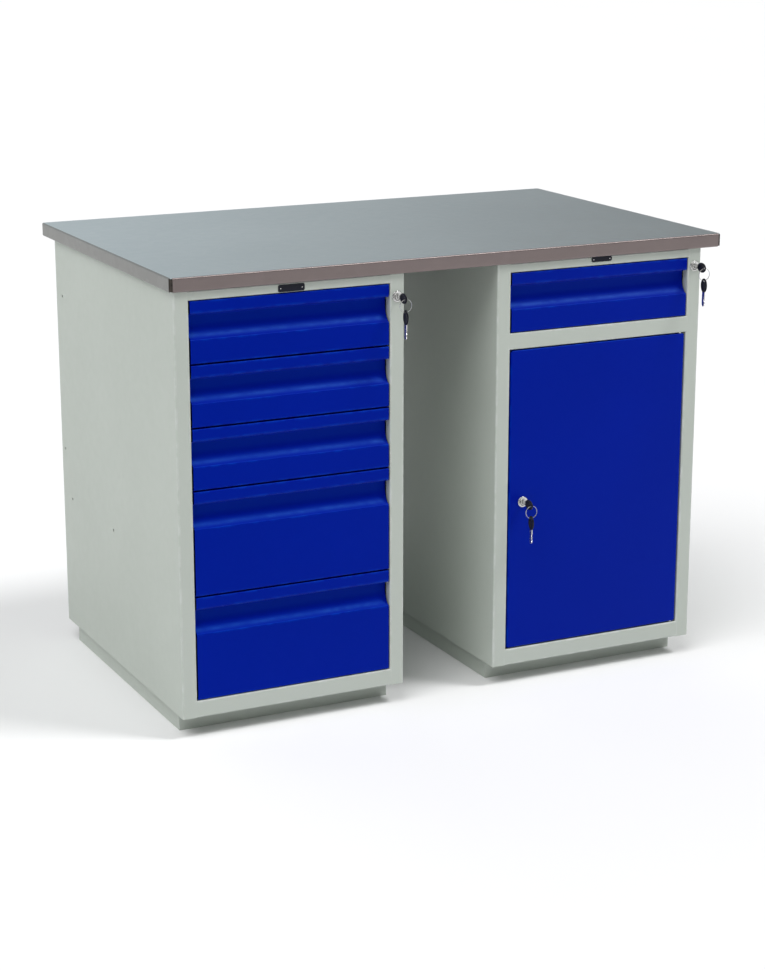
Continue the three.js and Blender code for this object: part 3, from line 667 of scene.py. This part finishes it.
def cabinet_side(node, side, lock=None, drilled=False):
    """One folded side: stile return, stile, skin and rear flange. side is -1 for a left skin and 1 for
    a right one."""
    low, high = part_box(node)
    if side > 0:
        path = [(low.x, low.y + STILE_RETURN), (low.x, low.y), (high.x, low.y),
                (high.x, high.y), (high.x - REAR_FLANGE, high.y)]
    else:
        path = [(low.x + REAR_FLANGE, high.y), (low.x, high.y), (low.x, low.y),
                (high.x, low.y), (high.x, low.y + STILE_RETURN)]
    holes = []
    if lock:
        centre = lock_centre(lock)
        holes.append((Vector((centre.x, low.y, centre.z)), LOCK_HOLE_RADIUS, "y"))
    if drilled:
        skin = high.x if side > 0 else low.x
        for back, up in FIXING_HOLES:
            holes.append((Vector((skin, low.y + back * MM, up * MM)), FIXING_HOLE_RADIUS, "x"))
    samples = fold_line(path, CABINET_SHEET)
    sheet = folded_sheet(f"{node}_sheet", "z", samples, low.z, high.z, CABINET_SHEET, GREY_PAINT, holes)
    finish_piece(sheet, "frame", "grey_paint", node)


def rail_panel(node, stile_low, stile_high, plate_low):
    """A folded front rail between the stiles, and the sheet that runs back from it. The rail's ends run
    over the stiles' rounded folds, as a welded and ground joint does."""
    low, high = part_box(node)
    behind = low.y + STILE_RETURN + SHEET_GAP
    if plate_low:
        path = [(low.y + RAIL_RETURN, high.z), (low.y, high.z), (low.y, low.z), (high.y, low.z)]
    else:
        path = [(high.y, high.z), (low.y, high.z), (low.y, low.z), (low.y + RAIL_RETURN, low.z)]
    samples = fold_line(path, CABINET_SHEET)
    bm = bmesh.new()
    front = [s for s in samples if s[0] < high.y - TINY]
    weld = BEND + CABINET_SHEET
    inner = [stile_low - weld, stile_high + weld]
    rows = [[(x, y, z) for x in inner] for y, z, _ in front]
    plate_z = low.z if plate_low else high.z
    edge = [[(x, behind, plate_z) for x in inner]]
    rows = rows + edge if plate_low else edge + rows
    wear_and_highlight = [s[2] for s in front]
    strip(bm, rows, wear_and_highlight + [0.0] if plate_low else [0.0] + wear_and_highlight)
    wide = [low.x, *inner, high.x]
    plate = [[(x, y, plate_z) for x in wide] for y in (behind, high.y)]
    strip(bm, plate if plate_low else plate[::-1], [0.0, 0.0])
    bmesh.ops.remove_doubles(bm, verts=bm.verts, dist=MERGE)
    sheet = make_object(f"{node}_sheet", bm, GREY_PAINT)
    finish_sheet(sheet, CABINET_SHEET)
    finish_piece(sheet, "frame", "grey_paint", node)


def name_plate(name, node, width, height, rise):
    """A blank dark plate with two small rivets, on a top rail."""
    low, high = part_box(node)
    centre = Vector(((low.x + high.x) / 2, low.y - PLATE_THICKNESS / 2, (low.z + high.z) / 2 + rise))
    bm = bmesh.new()
    bmesh.ops.create_cube(bm, size=1.0)
    bm.transform(Matrix.Translation(centre) @ Matrix.Diagonal((width, PLATE_THICKNESS, height, 1)))
    corners = [e for e in bm.edges if abs(e.verts[0].co.y - e.verts[1].co.y) > PLATE_THICKNESS / 2]
    bmesh.ops.bevel(bm, geom=corners, offset=PLATE_CORNER, segments=PLATE_CORNER_STEPS, affect="EDGES")
    plate = make_object(name, bm, PLATE_PLASTIC)
    ease_edges(plate, PLATE_EDGE)
    finish_piece(plate, "frame", "key_plastic")
    dome = [(along * MM, radius * MM) for along, radius in RIVET_DOME]
    for side, label in ((-1, "left"), (1, "right")):
        x = centre.x + side * (width / 2 - RIVET_INSET)
        origin = (x, centre.y - PLATE_THICKNESS / 2, centre.z)
        rivet = lathe(f"{name}_rivet_{label}", dome, origin, (0, 1, 0), BRIGHT_STEEL, RIVET_SIDES)
        finish_piece(rivet, "frame", "bright_steel")


def cabinets():
    cabinet_side("left_cabinet_outer_side", -1, drilled=True)
    cabinet_side("left_cabinet_inner_side", 1, lock="left_lock")
    cabinet_side("right_cabinet_inner_side", -1)
    cabinet_side("right_cabinet_outer_side", 1, lock="right_lock", drilled=True)
    for cabinet, left, right in (("left", "outer", "inner"), ("right", "inner", "outer")):
        stile_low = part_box(f"{cabinet}_cabinet_{left}_side")[1].x
        stile_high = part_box(f"{cabinet}_cabinet_{right}_side")[0].x
        rail_panel(f"{cabinet}_cabinet_top", stile_low, stile_high, plate_low=False)
        rail_panel(f"{cabinet}_cabinet_base", stile_low, stile_high, plate_low=True)
        if cabinet == "right":
            rail_panel("right_cabinet_divider", stile_low, stile_high, plate_low=False)
        name_plate(f"{cabinet}_plate", f"{cabinet}_cabinet_top", *PLATES[cabinet])


# ---- Drawer fronts and door ----

def drawer_front(drawer):
    """The folded front with its finger grip: the grip's ceiling bends into an upright back, which
    curves out into a hollow slope that ends at an edge."""
    node = f"{drawer}_front"
    low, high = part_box(node)
    face = low.y
    top = high.z - GRIP_BAND
    slope_radius = (GRIP_DEPTH ** 2 + GRIP_SLOPE ** 2) / (2 * GRIP_DEPTH)
    slope_turn = math.asin(GRIP_SLOPE / slope_radius)
    tangent = slope_radius * math.tan(slope_turn / 2)
    slope_bend = (tangent - GRIP_EDGE) / math.tan(slope_turn / 2)
    back = face + GRIP_DEPTH
    path = [
        (face + FRONT_RETURN, high.z), (face, high.z), (face, top), (back, top),
        (back, top - GRIP_BACK - tangent), (face, top - GRIP_BACK - GRIP_SLOPE),
        (face, low.z), (face + FRONT_RETURN, low.z),
    ]
    bends = [BEND, LIP_BEND, GRIP_CEILING_BEND, slope_bend, EDGE_BEND, BEND]
    samples = fold_line(path, FRONT_SHEET, bends)
    sheet = folded_sheet(f"{node}_sheet", "x", samples, low.x, high.x, FRONT_SHEET, BLUE_PAINT)
    finish_piece(sheet, drawer, "blue_paint", node)


def door():
    low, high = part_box("door_panel")
    centre = (low + high) / 2
    half = (high - low) / 2
    lock = lock_centre("door_lock")
    hole = (Vector((lock.x, low.y, lock.z)), LOCK_HOLE_RADIUS, "y")
    panel = folded_pan(
        "door_sheet", lambda u, v, w: (centre.x + u, low.y + w, centre.z + v),
        half.x, half.z, high.y - low.y, DOOR_LIP, DOOR_SEAM, CABINET_SHEET, [BLUE_PAINT], [hole])
    finish_piece(panel, "door", "blue_paint", "door_panel")


# ---- Locks, keys and rings ----

def lock_barrel(lock, body, centre, face):
    """The barrel: a flange with a rounded rim and a dished face, and a threaded body behind it."""
    front = -LOCK_FLANGE
    profile = [(front, LOCK_BORE_RADIUS + LOCK_DISH_WIDTH), (front, LOCK_FLANGE_RADIUS - LOCK_RIM)]
    for step in range(1, LOCK_RIM_STEPS + 1):
        angle = math.pi / 2 * step / LOCK_RIM_STEPS
        profile.append((front + LOCK_RIM * (1 - math.cos(angle)),
                        LOCK_FLANGE_RADIUS - LOCK_RIM * (1 - math.sin(angle))))
    profile += [(-LOCK_FLANGE_BACK, LOCK_FLANGE_RADIUS), (-LOCK_FLANGE_BACK, LOCK_BODY_RADIUS)]
    for turn in range(THREAD_TURNS):
        at = THREAD_START + turn * THREAD_PITCH
        profile += [(at, LOCK_BODY_RADIUS - THREAD_DEPTH), (at + THREAD_PITCH / 2, LOCK_BODY_RADIUS)]
    profile += [
        (LOCK_BODY_LENGTH - THREAD_RUNOUT, LOCK_BODY_RADIUS - THREAD_DEPTH),
        (LOCK_BODY_LENGTH, LOCK_BODY_RADIUS - LOCK_BODY_CHAMFER),
        (LOCK_BODY_LENGTH, LOCK_BORE_RADIUS), (front + LOCK_DISH_DEPTH, LOCK_BORE_RADIUS), profile[0],
    ]
    barrel = lathe(f"{lock}_turned_barrel", profile, (centre.x, face, centre.z), (0, 1, 0), BRIGHT_STEEL)
    crease(barrel)
    finish_piece(barrel, body, "bright_steel", f"{lock}_barrel")


def key_bow():
    """An oval with a raised rim and a hole at the origin, flat in YZ."""
    bm = bmesh.new()
    near_half = [(-BOW_THICKNESS / 2 + depth * MM, share) for depth, share in BOW_SECTION]
    middle = BOW_LENGTH / 2 - BOW_HOLE_INSET
    rings = []
    for across, share in near_half + [(-across, share) for across, share in reversed(near_half)]:
        angles = [2 * math.pi * i / BOW_SIDES for i in range(BOW_SIDES)] if share else [0.0]
        rings.append([
            bm.verts.new((across, middle + share * BOW_LENGTH / 2 * math.cos(angle),
                          share * BOW_WIDTH / 2 * math.sin(angle)))
            for angle in angles])
    join_rings(bm, rings, BOW_SIDES)
    bmesh.ops.recalc_face_normals(bm, faces=bm.faces)
    return bm


def key_blade():
    """A flat blade with cuts, which runs along +Y, flat in YZ."""
    root = BOW_LENGTH - BOW_HOLE_INSET - BLADE_ROOT
    tip = BOW_LENGTH - BOW_HOLE_INSET + BLADE_LENGTH
    half = BLADE_WIDTH / 2
    outline = [(root, -half), (root, half)]
    outline += [(tip - along * MM, half - deep * MM) for along, deep in BLADE_BACK_TIP]
    outline += [(tip - along * MM, -half + deep * MM) for along, deep in BLADE_CUT_TIP]
    for i, depth in enumerate(reversed(BLADE_CUTS)):
        start = tip - FIRST_CUT - i * CUT_PITCH
        depths = [CUT_SHOULDER, depth * MM, depth * MM, CUT_SHOULDER]
        outline += [(start - along * MM, -half + deep) for along, deep in zip(CUT_CORNERS, depths)]
    bm = bmesh.new()
    face = bm.faces.new([bm.verts.new((-BLADE_THICKNESS / 2, y, z)) for y, z in outline])
    grown = bmesh.ops.extrude_face_region(bm, geom=[face])
    moved = [v for v in grown["geom"] if isinstance(v, bmesh.types.BMVert)]
    bmesh.ops.translate(bm, verts=moved, vec=(BLADE_THICKNESS, 0, 0))
    bmesh.ops.recalc_face_normals(bm, faces=bm.faces)
    return bm


def key(name, place, body):
    """A key with a moulded bow and a steel blade. place moves it from the origin to its ring."""
    bow = make_object(f"{name}_bow", key_bow(), KEY_PLASTIC)
    drill(bow, [(Vector((0, 0, 0)), BOW_HOLE_RADIUS, "x")])
    bow.data.transform(place)
    crease(bow)
    finish_piece(bow, body, "key_plastic", name)
    blade = make_object(f"{name}_blade", key_blade(), BRIGHT_STEEL)
    blade.data.transform(place)
    ease_edges(blade, BLADE_EDGE, segments=1, angle=BLADE_EDGE_ANGLE)
    finish_piece(blade, body, "bright_steel")


def split_ring(node):
    """A split ring: a wire wound twice round, in the XZ plane. Its body has the node's name."""
    low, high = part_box(node)
    centre = (low + high) / 2
    bm = bmesh.new()
    steps = RING_STEPS * RING_TURNS
    rings = []
    for i in range(steps + 1):
        angle = 2 * math.pi * RING_TURNS * i / steps + RING_START
        across = RING_WIRE * max(-1.0, min(1.0, (i / steps - 0.5) / (RING_CROSSING / 2)))
        out = Vector((math.cos(angle), 0, math.sin(angle)))
        middle = centre + out * RING_RADIUS + Vector((0, across, 0))
        ring = []
        for j in range(RING_SIDES):
            round_wire = 2 * math.pi * j / RING_SIDES
            spoke = out * math.cos(round_wire) + Vector((0, math.sin(round_wire), 0))
            ring.append(bm.verts.new(middle + RING_WIRE * spoke))
        rings.append(ring)
    join_rings(bm, rings, RING_SIDES)
    bm.faces.new(rings[0])
    bm.faces.new(rings[-1][::-1])
    bmesh.ops.recalc_face_normals(bm, faces=bm.faces)
    wire = make_object(f"{node}_split_wire", bm, BRIGHT_STEEL)
    crease(wire)
    finish_piece(wire, node, "bright_steel", node)


def locks():
    for lock, body in LOCKS.items():
        centre = lock_centre(lock)
        lock_barrel(lock, body, centre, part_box(f"{lock}_barrel")[0].y + LOCK_FLANGE)
        ring_low, ring_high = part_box(f"{lock}_ring")
        hole = Vector((centre.x, (ring_low.y + ring_high.y) / 2, centre.z))
        key(f"{lock}_key", Matrix.Translation(hole), lock)
        hung = Matrix.Translation(hole - Vector((0, 0, 2 * RING_RADIUS)))
        key(f"{lock}_spare_key", hung @ Matrix.Rotation(-math.pi / 2, 4, "X"), f"{lock}_spare")
        split_ring(f"{lock}_ring")


# ---- CAD nodes that stay ----

def dress_cad_nodes():
    """Gives every CAD node its slot's material, and eases the edges of those that show."""
    slots = {row["node"]: row["material_slot"] for row in frame["record"]["subparts"]}
    for name, obj in frame["nodes"].items():
        obj.data.materials.clear()
        obj.data.materials.append(SLOT_MATERIALS[slots[name]])
        if not obj.hide_render:
            ease_edges(obj)


# ---- Floor, light and camera ----

def floor():
    bm = bmesh.new()
    bmesh.ops.create_grid(bm, x_segments=1, y_segments=1, size=FLOOR_SIZE)
    make_object("floor", bm, floor_paint("pale_floor", FLOOR_COLOR, FLOOR_SHADE))


def direction_of(azimuth, elevation):
    """The unit direction at angles in degrees. Azimuth is from the front, positive to the right."""
    a, e = math.radians(azimuth), math.radians(elevation)
    return Vector((math.sin(a) * math.cos(e), -math.cos(a) * math.cos(e), math.sin(e)))


def soft_sun(name, azimuth, elevation, spread_angle, strength):
    """A large far lamp."""
    data = bpy.data.lights.new(name, "SUN")
    data.energy = strength
    data.angle = math.radians(spread_angle)
    obj = bpy.data.objects.new(name, data)
    obj.rotation_euler = direction_of(azimuth, elevation).to_track_quat("Z", "Y").to_euler()
    bpy.context.scene.collection.objects.link(obj)


def studio():
    """An even grey room, with a broad pale backdrop that the worktop mirrors."""
    world = bpy.data.worlds.new("studio")
    world.use_nodes = True
    nodes, links = world.node_tree.nodes, world.node_tree.links
    direction = nodes.new("ShaderNodeTexCoord").outputs["Generated"]
    towards = add_node(nodes, "ShaderNodeVectorMath")
    towards.operation = "DOT_PRODUCT"
    towards.inputs[1].default_value = BACKDROP_DIRECTION
    links.new(direction, towards.inputs[0])
    glow = remap(nodes, links, towards.outputs["Value"], low=BACKDROP_EDGE, high=1.0)
    background = nodes["Background"]
    links.new(mix_color(nodes, links, glow, ROOM_COLOR, BACKDROP_COLOR), background.inputs["Color"])
    background.inputs["Strength"].default_value = 1.0
    bpy.context.scene.world = world
    bpy.context.scene.view_settings.view_transform = "Standard"
    soft_sun("left_softbox", **LEFT_SOFTBOX)
    soft_sun("right_lamp", **RIGHT_LAMP)


def camera():
    back = direction_of(CAMERA_AZIMUTH, CAMERA_ELEVATION)
    data = bpy.data.cameras.new("camera")
    data.lens = CAMERA_LENS
    data.clip_end = CAMERA_REACH
    obj = bpy.data.objects.new("camera", data)
    obj.location = Vector(CAMERA_TARGET) + back * CAMERA_DISTANCE
    obj.rotation_euler = back.to_track_quat("Z", "Y").to_euler()
    bpy.context.scene.collection.objects.link(obj)
    bpy.context.scene.camera = obj


worktop()
cabinets()
for drawer in DRAWERS:
    drawer_front(drawer)
door()
locks()
dress_cad_nodes()
floor()
studio()
camera()
